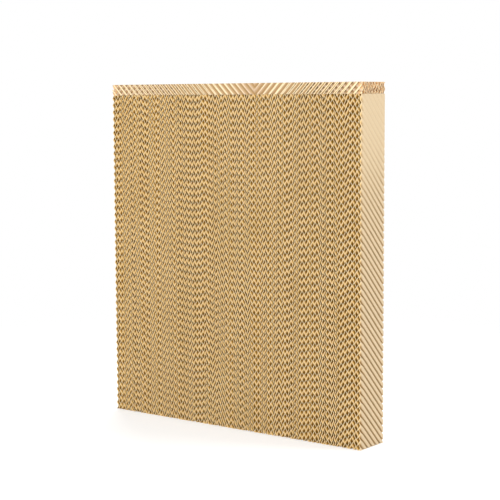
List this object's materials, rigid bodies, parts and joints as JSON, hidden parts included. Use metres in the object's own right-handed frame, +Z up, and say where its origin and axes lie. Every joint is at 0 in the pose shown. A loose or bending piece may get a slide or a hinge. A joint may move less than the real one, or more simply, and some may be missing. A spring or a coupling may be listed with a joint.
{
  "type": "evaporative cooling pad",
  "caption": "Upright rectangular cooling pad of glued corrugated paper sheets with crossed slanting flutes, and a shallow strip of the same sheets, in two lengths, along its top edge.",
  "frame": {"origin": "centre of the bottom edge area that the pad stands on", "axes": "+X to the right across the width as the front is faced, +Y through the thickness from the front to the back, +Z up"},
  "size_m": [0.62, 0.08, 0.69],
  "materials": {
    "kraft_paper": "matt resin-stiffened kraft paper, tan",
    "pale_kraft_paper": "matt resin-stiffened kraft paper, pale tan"
  },
  "bodies": {
    "root": {"rising_sheets": "kraft_paper", "falling_sheets": "kraft_paper", "strip_rising_sheets": "pale_kraft_paper", "strip_falling_sheets": "pale_kraft_paper"}
  },
  "joints": []
}
